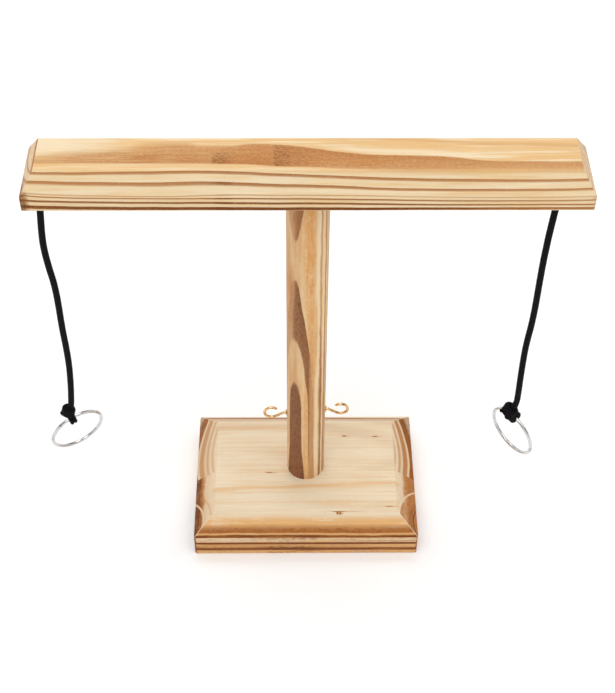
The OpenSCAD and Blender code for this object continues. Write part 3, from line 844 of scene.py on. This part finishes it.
def basePine(look):
    material, graph = startMaterial("basePine")
    (x, y, z), facing = graph.place(), graph.facing()
    wobble = graph.speckle(x * 0.018, y * 0.04, z * 0.04)
    ripple = graph.speckle(x * 0.10, y * 0.12 + 11, z * 0.12)
    blotch = graph.speckle(x * 0.16, y * 0.13 + 5, z * 0.2, 3)
    smoke = graph.speckle(x * 0.04, y * 0.3 + 2, z * 0.5, 3)
    char = graph.speckle(x * 0.3, y * 0.5 + 4, z * 0.8, 3, 0.75)
    fromBack, fromFront = (
        distance(y - heartY, z - heartZ) + (wobble * 0.5 + ripple * 0.4)
        for heartY, heartZ in (look["backHeart"], look["frontHeart"]))
    fromBack = fromBack + x.spread(0, 75) * 2.2
    isFront = y.spread(look["joint"] + 0.12, look["joint"] - 0.12)
    backRings = ringLevels(fromBack, look["back"], *look["backSpan"])
    frontRings = ringLevels(fromFront, look["front"], *look["frontSpan"])
    late, deep = (back * (1 - isFront) + front * isFront for back, front in zip(backRings, frontRings))
    end = abs(facing[0]).spread(0.35, 0.55)
    front = facing[1].spread(-0.35, -0.55)
    face = front * z.spread(18.6, 17.5)
    onTop = z.spread(25.5, 27.5)
    onRight = x.spread(-20, 40)

    # flame on the ends: their bevels, kept off one hard ring, and the upright edges under them
    hardRing = fromFront - (x * 0.04 + 33.2)
    frontEnd, rearEnd = end * isFront, end * (1 - isFront)
    kept = abs(hardRing).spread(0.7, 0.3) * frontEnd
    underRing = hardRing.spread(0, -1) * x.spread(0, 20)
    late = late * (1 - front * fromFront.spread(32.5, 33.5)) * (1 - z.spread(29, 29.9) * 0.6)
    height = z - x.spread(-20, 20) * 1.9
    lowBevel = greatest(height.spread(25, 20.6), underRing * 0.5)
    toast = 0.88 - onRight * 0.26 + onRight * lowBevel * 0.3 + char * 0.9
    late = greatest(late, (lowBevel + blotch * 0.9).spread(0.05, 0.55) * toast * frontEnd)
    scorch = (lowBevel + blotch * 0.7 + char * 0.5).spread(0.5, 1.15) * frontEnd * (0.95 - onRight * 0.79)
    late = late * (1 + rearEnd * x.spread(-40, 40, -0.08, 0.3))
    outer = rearEnd * fromBack.spread(116.8, 120.5) * z.spread(15.5, 18.5, 0.12, 1)
    sides = end * z.spread(18.6, 17.6)

    # flame on the front: its face, its middle and one ring over it
    faceBurn = x.near(-10, 30, 8)
    singe = front * fromFront.near(29.2, 1.3, 0.2) * z.spread(19, 20)
    late = greatest(
        late, sides * (0.24 + blotch * 0.7 + char * 0.5), front * z.spread(24, 21) * (0.17 + char * 0.8),
        face * (0.08 + smoke * 2.4 + char * 2 + faceBurn * 0.25),
        face * z.near(14.4, 0.9, 0.2) * x.spread(5, 45, 0, 0.75),
        face * z.near(9.2, 2.6, 1.2) * (0.5 + char) * x.spread(50, 20, 0.4, 1))
    deep = greatest(
        deep * (smoke + face * 0.1).spread(-0.12, 0.1, 0.85, 1.3),
        late * face * z.near(6.4, 2.6, 0.8) * (0.25 + char * 2.4 + faceBurn * 0.6),
        face * faceBurn * z.spread(15.6, 17.2) * (0.3 + char * 2.4), singe * (0.3 + char * 2.6))
    scorch = greatest(
        scorch, outer * (0.42 + blotch + char), sides * isFront * (0.12 + blotch * 0.5),
        face * faceBurn * z.near(6.2, 2.4, 0.8) * (0.5 + char * 3.2))

    # sanded light along the mitres and edges, and small knots
    mitre = (abs(x) - 61) - (abs(y) - 38.5)
    lighterCrest = abs(mitre).spread(0.55, 0.15) * z.spread(30.2, 29.4) * z.spread(17.6, 18.6)
    keep = 1 - greatest(lighterCrest * 0.9, kept * 0.95)
    spots, halos = [], []
    for knotX, knotY, long, wide in look["knots"]:
        dx, dy = (x - knotX) / long, (y - knotY) / wide
        spots.append((dx * dx + dy * dy + blotch * 3).spread(4.5, 0.6))
        halos.append(x.near(knotX + long, long * 6, 0) * y.near(knotY, wide * 3.5, 0))
    spot, halo = greatest(*spots), greatest(*halos)
    late = greatest(late * keep, greatest(spot * 0.95, halo * 0.35) * onTop)
    deep = greatest(deep * keep, spot * onTop * 0.35)

    # toasted and pale streaks
    warm = ((y - wobble * 6).near(32.5, 2.6, 0.6) * x.spread(8, -20) * 0.32
            + (y - x * 0.045 - wobble * 6).near(-17.5, 2.2, 0.6) * 0.6
            + (y - wobble * 4).near(-31.5, 1.5, 0.3) * 0.3) * z.spread(26, 29)
    faceWarm = (z + smoke * 9).spread(15.2, 11.5, 0.3, 1)
    warm = greatest(
        warm, front * z.spread(29, 25) * (face * faceWarm + (1 - face)),
        (end + facing[1].spread(0.35, 0.55)) * z.spread(19, 17) * 0.55,
        halo * onTop * 0.7, frontEnd * lowBevel * 0.8)
    pale = greatest((smoke + char * 0.4).spread(0.02, 0.25, 0, 0.5) * (1 - end * 0.5), kept * 0.7)
    finishPine(graph, look, (x, y, z), late, deep, scorch * keep, end * z.spread(30, 23, 0.4, 1.1),
               warm * keep, pale)
    return material


paint("crossbar", crossbarPine(crossbarLook))
paint("post", postPine(postLook))
paint("base_board", basePine(baseLook))
print("wood painted")


# Studio: a pale floor, soft lights all round, and unlit gaps between them for the metal to mirror
studio = {"floor": 12.0, "floorDrop": 0.2, "floorColour": tint(250, 250, 250), "floorGlow": 0.12, "sky": 0.84,
          "lights": [("keyLight", (-0.9, -1.1, 2.5), 1.5, 14.5), ("fillLight", (1.2, -0.8, 2.3), 1.5, 10.0),
                     ("backLight", (0.1, 1.0, 2.6), 1.6, 14.0)],
          "lightsAimAt": (0, 0, 0.15),
          "gaps": [(-135, 38), (-40, 36), (70, 42)], "gapEdge": (26, 17), "gapLevel": 0.05}


def buildStudio(look):
    half = look["floor"] / 2
    mesh = bpy.data.meshes.new("floor")
    corners = [(-half, -half), (half, -half), (half, half), (-half, half)]
    # a hair below the base, so that the two faces never share a plane
    mesh.from_pydata([(x, y, -look["floorDrop"] * mm) for x, y in corners], [], [(0, 1, 2, 3)])
    floor = bpy.data.objects.new("floor", mesh)
    bpy.context.scene.collection.objects.link(floor)
    paper, graph = startMaterial("paper")
    graph.surface({"Base Color": look["floorColour"], "Roughness": 0.9, "Specular IOR Level": 0.0,
                   "Emission Color": look["floorColour"], "Emission Strength": look["floorGlow"]})
    mesh.materials.append(paper)
    for name, place, size, power in look["lights"]:
        data = bpy.data.lights.new(name, "AREA")
        data.shape, data.size, data.energy = "DISK", size, power
        lamp = bpy.data.objects.new(name, data)
        lamp.location = place
        aim = Vector(look["lightsAimAt"]) - Vector(place)
        lamp.rotation_euler = aim.to_track_quat("-Z", "Y").to_euler()
        bpy.context.scene.collection.objects.link(lamp)
    world = bpy.data.worlds.new("studio")
    world.use_nodes = True
    world.node_tree.nodes.clear()
    graph = Graph(world.node_tree)
    way = graph.node("ShaderNodeTexCoord", output="Generated")
    level = 1.0
    outer, inner = (math.cos(math.radians(edge)) for edge in look["gapEdge"])
    for turn, rise in look["gaps"]:
        turn, rise = math.radians(turn), math.radians(rise)
        middle = (math.cos(turn) * math.cos(rise), math.sin(turn) * math.cos(rise), math.sin(rise))
        aim = graph.node("ShaderNodeVectorMath", {"operation": "DOT_PRODUCT"}, {0: way, 1: middle}, "Value")
        level = level * aim.spread(outer, inner, 1.0, look["gapLevel"])
    sky = graph.node("ShaderNodeBackground", None, {0: (1, 1, 1, 1), 1: level * look["sky"]})
    graph.node("ShaderNodeOutputWorld", None, {0: sky}, output=[])
    bpy.context.scene.world = world
    bpy.context.scene.view_settings.view_transform = "Standard"


buildStudio(studio)
print("studio lit")
